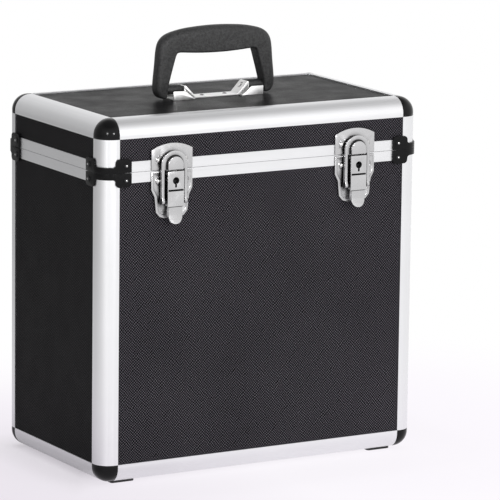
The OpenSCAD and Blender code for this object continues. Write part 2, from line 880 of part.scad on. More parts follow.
// The draw loop: an arched cap over the catch boss and an arm down each side of the lever
module loop(side) {
    rim_r = loop_w / 2;
    color(nickel) at_latch(side) difference() {
        union() {
            stand_off(loop_back_p, loop_front_p) arch(rim_r, cap_plate_top_h, arch_h);
            stand_off(loop_front_p - eps, lever_proud) arch(face_r, cap_plate_top_h, arch_h);
            for (s = [-1, 1]) translate([s * (rim_r - arm_w / 2) - arm_w / 2, 0, 0])
                rotate([90, 0, 90]) linear_extrude(arm_w) arm_side();
        }
        stand_off(loop_front_p - 1, loop_front_p + eps) difference() {
            arch(face_r + 1.3, cap_plate_top_h - 1, arch_h);
            arch(face_r, cap_plate_top_h - 1, arch_h);
        }
        cross_bar(loop_pin_h, latch_pin_p, latch_pin_r + pin_clear, latch_w);
    }
}

// ---------- handle ----------

// A trough's wall seen from the front: upright at the outer end, sloping at the inner one
module trough_plan() {
    polygon([
        [tab_x - slope_l + 2, 0], [tab_x + 1, trough_h], [bracket_half, trough_h], [bracket_half, 0]
    ]);
}

// Half of the strap seen from the front: flat on the lid, then a slope up to the pin's tab
module strap_plan() {
    low_x = tab_x - slope_l;
    polygon([
        [0, 0], [low_x, 0], [tab_x, tab_h - strap_t], [tab_x, tab_h],
        [tab_x - 2, tab_h], [low_x - 0.8, strap_t], [0, strap_t]
    ]);
}

// The bracket: an open trough at each end, joined by a strap with an upright tab for each pin
module handle_bracket() {
    w = bracket_w / 2;
    color(nickel) translate([0, 0, lid_face_z]) difference() {
        for (s = [0, 1]) mirror([s, 0, 0]) {
            for (y = [-w + bracket_t, w])
                translate([0, y, 0]) rotate([90, 0, 0]) linear_extrude(bracket_t) trough_plan();
            translate([tab_x - slope_l + 2, -w, 0])
                cube([bracket_half - tab_x + slope_l - 2, bracket_w, bracket_t]);
            translate([0, strap_w / 2, 0]) rotate([90, 0, 0]) linear_extrude(strap_w) strap_plan();
            translate([tab_x - bracket_t, -strap_w / 2, 0]) cube([bracket_t, strap_w, tab_h]);
        }
        translate([-tab_x - 1, 0, pivot_h]) rotate([0, 90, 0])
            cylinder(r = handle_pin_r, h = 2 * tab_x + 2);
        for (s = [-1, 1]) translate([s * bracket_rivet_x, 0, 0]) cylinder(r = rivet_r, h = far);
    }
}

// Steel pins fixed in the bracket's tabs, on which the handle turns
module handle_pins() {
    color(nickel) for (s = [-1, 1]) mirror([s < 0 ? 1 : 0, 0, 0])
        translate([tab_x - bracket_t, 0, pivot_z]) rotate([0, 90, 0])
            cylinder(r = handle_pin_r, h = handle_pin_end - tab_x + bracket_t);
}

// Points along an arc about a centre
function arc(c, r, from, to, n) =
    [for (i = [0 : n]) c + r * [cos(from + (to - from) * i / n), sin(from + (to - from) * i / n)]];

grip_corner_r = 16;
leg_lean = 3;
crown_drop = 6.5;
grip_sag = 2.5;

// The handle's outside seen from the front, h measured up from the lid's board
module handle_outline() {
    half = handle_len / 2;
    top = handle_h;
    corner_x = half - leg_lean - grip_corner_r;
    corner_h = top - crown_drop - grip_corner_r;
    crown_r = (pow(corner_x, 2) + pow(crown_drop, 2)) / (2 * crown_drop);
    crown_a = asin(corner_x / crown_r);
    right = concat(
        arc([0, top - crown_r], crown_r, 90, 90 - crown_a, 8),
        arc([corner_x, corner_h], grip_corner_r, 80, 0, 8),
        [[half, pivot_h + 6]],
        arc([half - 9, pivot_h + 1], 9, 10, -45, 5),
        [[half - leg_w + 1, pivot_h - foot_r]]
    );
    left = [for (i = [len(right) - 1 : -1 : 0]) [-right[i][0], right[i][1]]];
    polygon(concat(right, left));
}

// The finger space under the grip
module handle_opening() {
    half = handle_len / 2 - leg_w;
    top = handle_h - grip_depth;
    upper = half - 10;
    sag_r = (pow(upper, 2) + pow(grip_sag, 2)) / (2 * grip_sag);
    sag_a = asin(upper / sag_r);
    polygon(concat(
        [[-half - 1, -far / 10], [-half, pivot_h + 4]],
        [for (i = [0 : 10])
            let (a = -sag_a + 2 * sag_a * i / 10)
            [sag_r * sin(a), top + sag_r * (1 - cos(a))]],
        [[half, pivot_h + 4], [half + 1, -far / 10]]
    ));
}

// The handle seen from the side: a round foot about the pivot, legs and a rounded crown
module handle_side() {
    leg = foot_r - 0.9;
    grip = grip_t / 2;
    round_r = 6;
    high = handle_h - round_r;
    translate([0, pivot_h]) circle(foot_r, $fn = 96);
    polygon(concat(
        [[leg, pivot_h], [grip, handle_h - grip_depth - 6]],
        arc([grip - round_r, high], round_r, 0, 90, 6),
        arc([round_r - grip, high], round_r, 90, 180, 6),
        [[-grip, handle_h - grip_depth - 6], [-leg, pivot_h]]
    ));
}

module handle() {
    thick = 2 * foot_r + grip_t;
    boss_in = tab_x + 0.8;
    color(black) translate([0, 0, lid_face_z]) difference() {
        union() {
            intersection() {
                translate([0, thick / 2, 0]) rotate([90, 0, 0]) linear_extrude(thick) difference() {
                    handle_outline();
                    handle_opening();
                }
                translate([-handle_len, 0, 0]) rotate([90, 0, 90])
                    linear_extrude(2 * handle_len) handle_side();
            }
            for (s = [-1, 1]) mirror([s < 0 ? 1 : 0, 0, 0])
                translate([boss_in, 0, pivot_h]) rotate([0, 90, 0])
                    cylinder(r = boss_out_r, h = handle_len / 2 - leg_w / 2 - boss_in);
        }
        for (s = [-1, 1]) mirror([s < 0 ? 1 : 0, 0, 0])
            translate([boss_in - 1, 0, pivot_h]) rotate([0, 90, 0])
                cylinder(r = handle_pin_r + pin_clear, h = handle_bore_end - boss_in + 1);
    }
}

front_panel();
back_panel();
left_panel();
right_panel();
base_panel();
body_post(-1, -1);  // post_front_left
body_post(1, -1);  // post_front_right
body_post(-1, 1);  // post_back_left
body_post(1, 1);  // post_back_right
edge_x(-1, false);  // base_edge_front
edge_x(1, false);  // base_edge_back
edge_y(-1, false);  // base_edge_left
edge_y(1, false);  // base_edge_right
body_rim();
shell_corner(-1, -1, false);  // base_corner_front_left
shell_corner(1, -1, false);  // base_corner_front_right
shell_corner(-1, 1, false);  // base_corner_back_left
shell_corner(1, 1, false);  // base_corner_back_right
body_guards();
feet();
body_lining();
body_rivets();
latch_base(-1);  // latch_base_left
latch_base(1);  // latch_base_right
lever_pins();
hinge_body_leaves();
hinge_pins();
top_panel();
lid_front_panel();
lid_back_panel();
lid_left_panel();
lid_right_panel();
lid_posts();
edge_x(-1, true);  // top_edge_front
edge_x(1, true);  // top_edge_back
edge_y(-1, true);  // top_edge_left
edge_y(1, true);  // top_edge_right
lid_rim();
shell_corner(-1, -1, true);  // top_corner_front_left
shell_corner(1, -1, true);  // top_corner_front_right
shell_corner(-1, 1, true);  // top_corner_back_left
shell_corner(1, 1, true);  // top_corner_back_right
lid_guards();
lid_lining();
lid_rivets();
catch(-1);  // catch_left
catch(1);  // catch_right
hinge_lid_leaves();
handle_bracket();
handle_pins();
handle();
lever(-1);  // lever_left
loop_pin(-1);  // loop_pin_left
loop(-1);  // loop_left
lock_bolt(-1);  // lock_bolt_left
lever(1);  // lever_right
loop_pin(1);  // loop_pin_right
loop(1);  // loop_right
lock_bolt(1);  // lock_bolt_right
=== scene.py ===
from math import pi, radians, sin

import bpy
from mathutils import Matrix, Vector


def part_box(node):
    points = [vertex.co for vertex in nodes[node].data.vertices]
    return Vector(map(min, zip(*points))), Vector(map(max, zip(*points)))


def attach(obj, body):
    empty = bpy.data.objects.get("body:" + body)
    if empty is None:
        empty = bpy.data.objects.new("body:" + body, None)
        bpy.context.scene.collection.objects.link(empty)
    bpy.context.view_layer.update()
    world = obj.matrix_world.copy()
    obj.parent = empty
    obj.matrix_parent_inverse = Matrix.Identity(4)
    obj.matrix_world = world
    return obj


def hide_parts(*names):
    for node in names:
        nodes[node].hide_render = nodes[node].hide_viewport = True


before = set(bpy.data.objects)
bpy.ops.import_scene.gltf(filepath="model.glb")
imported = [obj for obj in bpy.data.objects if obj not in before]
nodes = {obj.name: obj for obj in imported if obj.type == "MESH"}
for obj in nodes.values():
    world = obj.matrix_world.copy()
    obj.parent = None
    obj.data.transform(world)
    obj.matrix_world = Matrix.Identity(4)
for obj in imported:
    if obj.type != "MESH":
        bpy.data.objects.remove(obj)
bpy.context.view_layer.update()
scene = bpy.context.scene
scene.view_settings.view_transform = "Standard"

# ---------- camera ----------
# A long lens stands four metres off the case's front left corner, a little above its lid,
# and is turned so that the shell's eight corners fall where the photograph has them.
camera_data = bpy.data.cameras.new("camera")
camera_data.sensor_width = 36
camera_data.lens = 292.1
camera_data.clip_end = 50
camera = bpy.data.objects.new("camera", camera_data)
scene.collection.objects.link(camera)
camera_place = Vector((-1.9858, -3.5072, 0.9848))
camera_yaw, camera_pitch, camera_roll = radians(-30.072), radians(79.05), radians(0.70)
camera.matrix_world = (
    Matrix.Translation(camera_place)
    @ Matrix.Rotation(camera_yaw, 4, "Z")
    @ Matrix.Rotation(camera_pitch, 4, "X")
    @ Matrix.Rotation(camera_roll, 4, "Z")
)
scene.camera = camera

# ---------- studio ----------
# A white table under soft white light: a broad soft box in front on the right, one overhead,
# two lamps that only leave highlights, and a surround that is greyer above and behind on the
# left. The metal shows the surround and not the soft boxes, so its bands are soft.
surround_by_height = [
    (0, 1), (0.15, 1), (0.45, 1.08), (0.65, 0.93), (0.75, 0.74), (0.85, 0.49), (1, 0.46)]
surround_by_side = [
    (0.03, 0.50), (0.11, 0.57), (0.18, 0.72), (0.31, 0.84), (0.5, 0.93), (0.65, 1.03), (1, 1.1)]
bright_way = (0.8, -0.6, 0)
near_corner = (-0.16, -0.09, 0.35)
highlight_size = (0.42, 0.42)
highlight_power = 17


def add_step(tree, kind, sockets=None, **settings):
    """Adds one shader step; a socket takes a number, a colour or another step's output."""
    step = tree.nodes.new("ShaderNode" + kind)
    for name, value in settings.items():
        setattr(step, name, value)
    for name, value in (sockets or {}).items():
        if isinstance(value, bpy.types.NodeSocket):
            tree.links.new(value, step.inputs[name])
        else:
            step.inputs[name].default_value = value
    return step


def ramp(tree, factor, stops):
    """A colour ramp from grey levels, given as pairs of place and level."""
    step = add_step(tree, "ValToRGB", {"Fac": factor})
    points = step.color_ramp.elements
    while len(points) < len(stops):
        points.new(0.5)
    for point, (place, level) in zip(points, stops):
        point.position = place
        point.color = (level, level, level, 1)
    return step.outputs["Color"]


world = bpy.data.worlds.new("studio")
scene.world = world
world.use_nodes = True
tree = world.node_tree
surround = tree.nodes["Background"]
toward = add_step(tree, "TexCoord").outputs["Generated"]
part = add_step(tree, "SeparateXYZ", {"Vector": toward})
height = ramp(tree, part.outputs["Z"], surround_by_height)
facing = add_step(tree, "VectorMath", {0: toward, 1: bright_way}, operation="DOT_PRODUCT")
from_back = add_step(tree, "MapRange", {
    "Value": facing.outputs["Value"], "From Min": -1, "From Max": 1})
sideways = ramp(tree, from_back.outputs["Result"], surround_by_side)
level = add_step(tree, "Math", {0: height, 1: sideways}, operation="MULTIPLY")
rays = add_step(tree, "LightPath")
seen = add_step(tree, "Mix", {
    0: rays.outputs["Is Camera Ray"], 2: level.outputs[0], 3: 1.0}, data_type="FLOAT")
tree.links.new(seen.outputs[0], surround.inputs["Color"])
surround.inputs["Strength"].default_value = 1


def soft_box(name, place, aim, size, power):
    """A rectangular lamp at a place, turned towards its aim."""
    data = bpy.data.lights.new(name, "AREA")
    data.shape = "RECTANGLE"
    data.size, data.size_y = size
    data.energy = power
    lamp = bpy.data.objects.new(name, data)
    scene.collection.objects.link(lamp)
    lamp.location = place
    lamp.rotation_euler = (Vector(aim) - Vector(place)).to_track_quat("-Z", "Y").to_euler()
    return lamp


front_right_box = soft_box("front_right_box", (1.3, -2.3, 1.2), (0, 0, 0.15), (1.6, 1.3), 22)
top_box = soft_box("top_box", (0.2, 0.3, 2.5), (0, 0, 0), (2.2, 2.2), 12)
front_right_box.visible_glossy = top_box.visible_glossy = False
left_point = soft_box("left_point", (-1.87, -1.93, 1.02), near_corner, highlight_size,
    highlight_power)
front_point = soft_box("front_point", (0.02, -2.63, 0.96), near_corner, highlight_size,
    highlight_power)
left_point.visible_diffuse = front_point.visible_diffuse = False

table_side = 9
table_colour = (0.90, 0.88, 0.91, 1)
footprint_half = (0.17, 0.095, 0)
forward_way = (0.5, -0.8, 0)
glow_share_by_distance = [(0, 0.5), (0.05, 0.85), (0.1, 0.93), (0.3, 1)]
front_painted_glow_least = 0.88
reflection_shade_by_distance = [(0, 0.5), (0.15, 1)]
left_floor_painted_shade, right_floor, far_floor = (0.845, 0.800, 0.865, 1), (0.985, 0.955, 1, 1), (1, 1, 1, 1)
bpy.ops.object.select_all(action="DESELECT")
bpy.ops.mesh.primitive_plane_add(size=table_side, location=(0, 0, 0))
table = bpy.context.object
table.name = "studio_table"
table_paint = bpy.data.materials.new("table_paint")
table_paint.use_nodes = True
tree = table_paint.node_tree
paint = tree.nodes["Principled BSDF"]
paint.inputs["Base Color"].default_value = table_colour
paint.inputs["Roughness"].default_value = 0.6
paint.inputs["Specular IOR Level"].default_value = 0.2
place = add_step(tree, "TexCoord").outputs["Object"]
part = add_step(tree, "SeparateXYZ", {"Vector": place})
# how far a point of the table is from the case's footprint
beside = add_step(tree, "VectorMath", {0: place}, operation="ABSOLUTE")
beside = add_step(tree, "VectorMath", {
    0: beside.outputs["Vector"], 1: footprint_half}, operation="SUBTRACT")
beside = add_step(tree, "VectorMath", {
    0: beside.outputs["Vector"], 1: (0, 0, 0)}, operation="MAXIMUM")
beside = add_step(tree, "VectorMath", {0: beside.outputs["Vector"]}, operation="LENGTH")
beside = beside.outputs["Value"]
rays = add_step(tree, "LightPath")
sight = add_step(tree, "Math", {
    0: rays.outputs["Is Camera Ray"], 1: rays.outputs["Is Glossy Ray"]}, operation="MAXIMUM")
sight = add_step(tree, "Math", {
    0: sight.outputs[0], 1: rays.outputs["Is Transmission Ray"]}, operation="MAXIMUM")
# in front of the case the floor's glow is kept high, a painted light over the soft shade under
# the front edge; the key light's shadow lies behind it and to the left
forward = add_step(tree, "VectorMath", {0: place, 1: forward_way}, operation="DOT_PRODUCT")
forward = forward.outputs["Value"]
in_front = add_step(tree, "MapRange", {
    "Value": forward, "From Min": -0.11, "From Max": -0.01, "To Min": 0, "To Max": 1})
in_front = in_front.outputs["Result"]
share = ramp(tree, beside, glow_share_by_distance)
front_share = add_step(tree, "Math", {0: in_front, 1: front_painted_glow_least},
    operation="MULTIPLY")
share = add_step(tree, "Math", {0: share, 1: front_share.outputs[0]}, operation="MAXIMUM")
share = add_step(tree, "Math", {0: share.outputs[0], 1: sight.outputs[0]},
    operation="MULTIPLY")
# near the case the floor's glow is darker on the left: painted shade beside the case
along = add_step(tree, "MapRange", {
    "Value": part.outputs["X"], "From Min": -0.28, "From Max": 0})
near_colour = add_step(tree, "Mix", {
    0: along.outputs["Result"], 6: left_floor_painted_shade, 7: right_floor}, data_type="RGBA")
far = add_step(tree, "MapRange", {
    "Value": beside, "From Min": 0.12, "From Max": 0.45}, interpolation_type="SMOOTHSTEP")
glow_colour = add_step(tree, "Mix", {
    0: far.outputs["Result"], 6: near_colour.outputs[2], 7: far_floor}, data_type="RGBA")
# in reflections the floor is painted darker far back on the left, and close round the case
# except in front: painted shade
painted_reflection_fade = add_step(tree, "MapRange", {
    "Value": forward, "From Min": -1.4, "From Max": 0.1, "To Min": 0.4, "To Max": 1})
painted_contact_shade = add_step(tree, "Math", {
    0: ramp(tree, beside, reflection_shade_by_distance), 1: in_front}, operation="MAXIMUM")
shaded = add_step(tree, "Math", {
    0: painted_reflection_fade.outputs["Result"], 1: painted_contact_shade.outputs[0]}, operation="MULTIPLY")
strength = add_step(tree, "Mix", {
    0: rays.outputs["Is Camera Ray"], 2: shaded.outputs[0], 3: 1.0}, data_type="FLOAT")
glow = add_step(tree, "Emission", {
    "Color": glow_colour.outputs[2], "Strength": strength.outputs[0]})
both = add_step(tree, "MixShader", {
    0: share.outputs[0], 1: paint.outputs["BSDF"], 2: glow.outputs["Emission"]})
tree.links.new(both.outputs[0], tree.nodes["Material Output"].inputs["Surface"])
table.data.materials.append(table_paint)

# ---------- laminated boards ----------
# Six millimetre boards, faced on the outside with black plastic laminate that is embossed
# all over with small diamonds. They slide into the grips of the aluminium edges.
diamond_pitch = 0.0029
emboss_depth = 0.00012
row_drift = 2.0
second_row_weight = 1.2
laminate_dark = (0.0030, 0.0028, 0.0034)
laminate_light = (0.146, 0.137, 0.158)
# the side and top boards take darker copies of the front's pale tone: painted shade for how the
# light falls on them
side_painted_shade_tone = (0.044, 0.043, 0.045)
top_painted_shade_tone = (0.018, 0.0175, 0.0185)


def new_finish(name, colour, roughness, metal=0.0):
    """A material with its shader and the piece's own coordinates."""
    made = bpy.data.materials.new(name)
    made.use_nodes = True
    shader = made.node_tree.nodes["Principled BSDF"]
    shader.inputs["Base Color"].default_value = (*colour, 1)
    shader.inputs["Roughness"].default_value = roughness
    shader.inputs["Metallic"].default_value = metal
    place = add_step(made.node_tree, "TexCoord").outputs["Object"]
    return made, made.node_tree, shader, place


def give(names, finish):
    """Puts one finish on every face of the named CAD nodes."""
    for name in names:
        nodes[name].data.materials.clear()
        nodes[name].data.materials.append(finish)


def blotches(tree, place, scale, detail=3, roughness=0.55, stretch=(1, 1, 1)):
    """Soft noise, stretched along an axis where a finish has a direction."""
    spread = add_step(tree, "Mapping", {"Vector": place, "Scale": stretch})
    noise = add_step(tree, "TexNoise", {
        "Vector": spread.outputs["Vector"], "Scale": scale, "Detail": detail,
        "Roughness": roughness})
    return noise.outputs["Fac"]


def span(tree, value, low, high, start=0.3, end=0.7):
    """Maps a factor to a range of a roughness or a height."""
    step = add_step(tree, "MapRange", {
        "Value": value, "From Min": start, "From Max": end, "To Min": low, "To Max": high})
    return step.outputs["Result"]


def mixed(tree, factor, first, second):
    """A colour between two, by a factor."""
    step = add_step(tree, "Mix", {0: factor, 6: (*first, 1), 7: (*second, 1)},
        data_type="RGBA")
    return step.outputs[2]


def raise_surface(tree, shader, height, depth, strength=1.0):
    """Gives a shader fine relief from a height, with its depth in metres."""
    bump = add_step(tree, "Bump", {"Height": height, "Distance": depth, "Strength": strength})
    tree.links.new(bump.outputs["Normal"], shader.inputs["Normal"])


def worn_edge(tree, radius):
    """A factor that is high where the surface turns sharply within a radius."""
    round_normal = add_step(tree, "Bevel", {"Radius": radius}, samples=4)
    true_normal = add_step(tree, "NewGeometry").outputs["Normal"]
    same = add_step(tree, "VectorMath", {
        0: round_normal.outputs["Normal"], 1: true_normal}, operation="DOT_PRODUCT")
    step = add_step(tree, "MapRange", {
        "Value": same.outputs["Value"], "From Min": 0.995, "From Max": 0.86,
        "To Min": 0, "To Max": 1})
    return step.outputs["Result"]


def laminate(name, first_way, second_way, light, gloss, rough=0.45):
    """Embossed laminate; the two ways are the diagonals of the board's own plane."""
    made, tree, shader, place = new_finish(name, laminate_dark, rough)
    waves = []
    turn = 2 * pi / diamond_pitch
    for way, drift_scale in ((first_way, 90), (second_way, 120)):
        along = add_step(tree, "VectorMath", {
            0: place, 1: tuple(turn * w for w in way)}, operation="DOT_PRODUCT")
        # the embossing roll is not quite even, so the rows drift a little to and fro
        drift = span(tree, blotches(tree, place, drift_scale, 2), -row_drift, row_drift)
        phase = add_step(tree, "Math", {0: along.outputs["Value"], 1: drift},
            operation="ADD")
        wave = add_step(tree, "Math", {0: phase.outputs[0]}, operation="SINE")
        waves.append(wave.outputs[0])
    # the rows of one diagonal stand out a little more than those of the other
    diamonds = add_step(tree, "Math", {0: waves[1], 1: second_row_weight, 2: waves[0]},
        operation="MULTIPLY_ADD")
    face = span(tree, diamonds.outputs[0], 0, 1, 0.0, 1.9)
    shade = blotches(tree, place, 9)
    faint = add_step(tree, "Math", {0: face, 1: span(tree, shade, 0.85, 1.1)},
        operation="MULTIPLY")
    colour = mixed(tree, faint.outputs[0], laminate_dark, light)
    tree.links.new(colour, shader.inputs["Base Color"])
    rub = blotches(tree, place, 35, 4)
    tree.links.new(span(tree, rub, rough - 0.05, rough + 0.07), shader.inputs["Roughness"])
    shader.inputs["Specular IOR Level"].default_value = gloss
    raise_surface(tree, shader, face, emboss_depth, 0.6)
    return made


front_laminate = laminate("front_laminate", (1, 0, 1), (1, 0, -1), laminate_light, 0.02)
side_laminate = laminate("side_laminate", (0, 1, 1), (0, 1, -1), side_painted_shade_tone, 0.03)
top_laminate = laminate("top_laminate", (1, 1, 0), (1, -1, 0), top_painted_shade_tone, 0.03, 0.345)
give(["front_panel", "back_panel", "lid_front_panel", "lid_back_panel"], front_laminate)
give(["left_panel", "right_panel", "lid_left_panel", "lid_right_panel"], side_laminate)
give(["top_panel", "base_panel"], top_laminate)

# ---------- aluminium edges ----------
# Quarter-round aluminium extrusions with two legs, satin anodised. The boards' edges are pushed
# into the channel of each leg and held there. The die leaves faint lines along each length.
edge_metal = (0.84, 0.84, 0.855)
line_scale, line_stretch, line_depth = 900, 0.004, 0.00002
edge_wear_radius = 0.0006


def anodised(name, run, colour=edge_metal, rough=0.36):
    """Satin aluminium with die lines along axis 0, 1 or 2, small rubs and brighter edges."""
    made, tree, shader, place = new_finish(name, colour, rough, 1.0)
    stretch = [1, 1, 1]
    stretch[run] = line_stretch
    lines = blotches(tree, place, line_scale, 2, 0.6, stretch)
    cloud = blotches(tree, place, 14, 4)
    rubs = blotches(tree, place, 160, 5, 0.7)
    low, high = tuple(0.93 * c for c in colour), tuple(min(1.04 * c, 0.93) for c in colour)
    tree.links.new(mixed(tree, cloud, low, high), shader.inputs["Base Color"])
    rough_lines = span(tree, lines, rough - 0.05, rough + 0.05)
    rough_rubs = span(tree, rubs, 0, 0.10, 0.6, 0.75)
    wear = add_step(tree, "Math", {0: worn_edge(tree, edge_wear_radius), 1: -0.1},
        operation="MULTIPLY")
    first = add_step(tree, "Math", {0: rough_lines, 1: rough_rubs}, operation="ADD")
    total = add_step(tree, "Math", {0: first.outputs[0], 1: wear.outputs[0]}, operation="ADD")
    tree.links.new(total.outputs[0], shader.inputs["Roughness"])
    raise_surface(tree, shader, lines, line_depth, 0.35)
    return made


along_x = anodised("anodised_along_x", 0)
along_y = anodised("anodised_along_y", 1)
along_z = anodised("anodised_along_z", 2)
give(["base_edge_front", "base_edge_back", "top_edge_front", "top_edge_back"], along_x)
give(["base_edge_left", "base_edge_right", "top_edge_left", "top_edge_right"], along_y)
give(["post_front_left", "post_front_right", "post_back_left", "post_back_right",
    "lid_posts"], along_z)

# ---------- closing profiles ----------
# A flat anodised aluminium profile round each half at the closing line, pushed over the
# boards' ends. The body's carries a thin lip that enters the lid's and keeps dust out.
closing_metal = anodised("closing_metal", 0, (0.80, 0.80, 0.815), 0.40)
give(["body_rim", "lid_rim"], closing_metal)

# ---------- ball corners ----------
# Injection moulded black plastic caps, round as a ball outside and square inside, pressed over
# the ends of three edges at each corner of the case.
corner_black = (0.0020, 0.0020, 0.0022)
corner_shine = 0.22
corner_rounding = 0.0004
plastic_crevice, plastic_wear_radius, plastic_unevenness = 0.002, 0.0005, 0.00005
merge_within = 0.000004


def gloss_plastic(name, colour, rough, grain, shine):
    """Moulded plastic with slight unevenness, fine scuffs and paler rubbed edges, and its shine
    damped in narrow gaps as painted shade.
    """
    made, tree, shader, place = new_finish(name, colour, rough)
    shader.inputs["Specular IOR Level"].default_value = shine
    # painted shade in the reflection: the shine falls where other surfaces close in
    gap = add_step(tree, "AmbientOcclusion", {"Distance": plastic_crevice}, samples=8)
    tree.links.new(span(tree, gap.outputs["AO"], 0.02, shine, 0.6, 0.92),
        shader.inputs["Specular IOR Level"])
    edge = worn_edge(tree, plastic_wear_radius)
    rubbed = tuple(2.6 * c + 0.004 for c in colour)
    tree.links.new(mixed(tree, edge, colour, rubbed), shader.inputs["Base Color"])
    scuffs = blotches(tree, place, 420, 6, 0.7)
    tree.links.new(span(tree, scuffs, rough - 0.03, rough + 0.12, 0.45, 0.75),
        shader.inputs["Roughness"])
    raise_surface(tree, shader, blotches(tree, place, grain, 2), plastic_unevenness, 0.25)
    return made


corner_gloss = gloss_plastic("corner_gloss", corner_black, 0.12, 90, corner_shine)


def softened(node, name, body, finish, width, segments=2, angle=28, shape=None):
    """A copy of a pressed or moulded piece, merged, shaped, with its sharp edges rounded."""
    piece = bpy.data.objects.new(name, nodes[node].data.copy())
    scene.collection.objects.link(piece)
    bpy.ops.object.select_all(action="DESELECT")
    bpy.context.view_layer.objects.active = piece
    piece.select_set(True)
    bpy.ops.object.mode_set(mode="EDIT")
    bpy.ops.mesh.select_all(action="SELECT")
    bpy.ops.mesh.remove_doubles(threshold=merge_within)
    bpy.ops.mesh.dissolve_limited(angle_limit=radians(0.6))
    bpy.ops.object.mode_set(mode="OBJECT")
    piece.data.materials.clear()
    piece.data.materials.append(finish)
    if shape:
        shape(piece)
    rounding = piece.modifiers.new("rounding", "BEVEL")
    rounding.width = width
    rounding.segments = segments
    rounding.limit_method = "ANGLE"
    rounding.angle_limit = radians(angle)
    rounding.use_clamp_overlap = True
    bpy.ops.object.modifier_apply(modifier="rounding")
    bpy.ops.object.shade_smooth_by_angle(angle=radians(35))
    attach(piece, body)
    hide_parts(node)
    return piece


for level, body in (("base", "case_body"), ("top", "case_lid")):
    for end in ("front", "back"):
        for side in ("left", "right"):
            softened(f"{level}_corner_{end}_{side}", f"{level}_ball_{end}_{side}", body,
                corner_gloss, corner_rounding)

# ---------- corner guards ----------
# Black moulded guards that wrap the upright edges just over and under the closing line. Each
# has a rib round the corner and an ear with one rivet on either face. The ribs nearly touch
# when the lid is shut, and the closing profile shows bright between the ears.
guard_colour, guard_shine = (0.0055, 0.0055, 0.006), 0.13
guard_black = gloss_plastic("guard_black", guard_colour, 0.24, 260, guard_shine)
guard_rounding = 0.0006
closing_z = 0.3115
ends_within = 0.0006
ear_x, ear_y = 0.158, 0.081
half_gap_at_ear, half_gap_at_rib = 0.0004, 0.00005


def meet(piece):
    """Brings the ribs within a tenth of a millimetre of each other and the ears apart."""
    for vertex in piece.data.vertices:
        over = vertex.co.z - closing_z
        if abs(over) < ends_within:
            on_ear = abs(vertex.co.x) < ear_x or abs(vertex.co.y) < ear_y
            half_gap = half_gap_at_ear if on_ear else half_gap_at_rib
            vertex.co.z = closing_z + (half_gap if over > 0 else -half_gap)


for node, name, body in (("body_guards", "lower_guards", "case_body"),
        ("lid_guards", "upper_guards", "case_lid")):
    softened(node, name, body, guard_black, guard_rounding, 3, shape=meet)

# ---------- feet ----------
# Four square feet of black rubber with rounded edges, each moulded in one piece and glued
# under the base near a corner. Dust clings to them.
clean_rubber, dusty_rubber = (0.010, 0.010, 0.0105), (0.035, 0.034, 0.033)
foot_rounding = 0.0007
foot_rubber, tree, shader, place = new_finish("foot_rubber_finish", clean_rubber, 0.72)
dust = span(tree, blotches(tree, place, 60, 5, 0.65), 0, 1, 0.45, 0.8)
tree.links.new(mixed(tree, dust, clean_rubber, dusty_rubber), shader.inputs["Base Color"])
raise_surface(tree, shader, blotches(tree, place, 700, 3), 0.00012, 0.5)
softened("feet", "rubber_feet", "case_body", foot_rubber, foot_rounding, 3)

# ---------- foam linings ----------
# Black foam sheet, cut square and glued to the inside of every board; the lid's top sheet is
# a thicker pad that presses on the sleeves. The sheets swell a little between their edges.
foam_dark, foam_light = (0.008, 0.008, 0.009), (0.024, 0.024, 0.026)
wall_thick, pad_thick = 0.0025, 0.008
foam_gap = 0.0003
foam_rounding = 0.0007
foam_swell, swell_waves = 0.0004, (95, 83)
inner_face_within = 0.00001
foam_strips = 12
foam_black, tree, shader, place = new_finish("foam_black", foam_dark, 0.93)
cells = add_step(tree, "TexVoronoi", {"Vector": place, "Scale": 900})
raise_surface(tree, shader, cells.outputs["Distance"], 0.00025, 0.7)
fleck = blotches(tree, place, 240, 4, 0.7)
tree.links.new(mixed(tree, fleck, foam_dark, foam_light), shader.inputs["Base Color"])
shader.inputs["Specular IOR Level"].default_value = 0.2


def foam_sheet(name, low, high, swell_axis, inward):
    """One foam sheet: a divided block with soft edges, swollen on its inner face."""
    bpy.ops.object.select_all(action="DESELECT")
    middle = [(a + b) / 2 for a, b in zip(low, high)]
    bpy.ops.mesh.primitive_cube_add(size=1, location=middle)
    sheet = bpy.context.object
    sheet.name = name
    sheet.scale = [b - a for a, b in zip(low, high)]
    bpy.ops.object.transform_apply(location=True, rotation=True, scale=True)
    bpy.ops.object.mode_set(mode="EDIT")
    bpy.ops.mesh.select_all(action="SELECT")
    bpy.ops.mesh.bevel(offset=foam_rounding, segments=2)
    bpy.ops.mesh.select_all(action="SELECT")
    across = [i for i in range(3) if i != swell_axis]
    for axis in across:
        normal = [0, 0, 0]
        normal[axis] = 1
        for n in range(1, foam_strips):
            cut = Vector(low)
            cut[axis] += (high[axis] - low[axis]) * n / foam_strips
            bpy.ops.mesh.select_all(action="SELECT")
            bpy.ops.mesh.bisect(plane_co=cut, plane_no=normal)
    bpy.ops.object.mode_set(mode="OBJECT")
    inner = high[swell_axis] if inward > 0 else low[swell_axis]
    for v in sheet.data.vertices:
        if abs(v.co[swell_axis] - inner) < inner_face_within:
            rise = 1.0
            for axis in across:
                t = (v.co[axis] - low[axis]) / (high[axis] - low[axis])
                rise *= min(1, 4 * t * (1 - t) * 3)
            wave = (sin(v.co[across[0]] * swell_waves[0])
                * sin(v.co[across[1]] * swell_waves[1] + 1))
            v.co[swell_axis] -= inward * foam_swell * (1 - rise * (0.75 + 0.25 * wave))
    sheet.data.materials.append(foam_black)
    return sheet


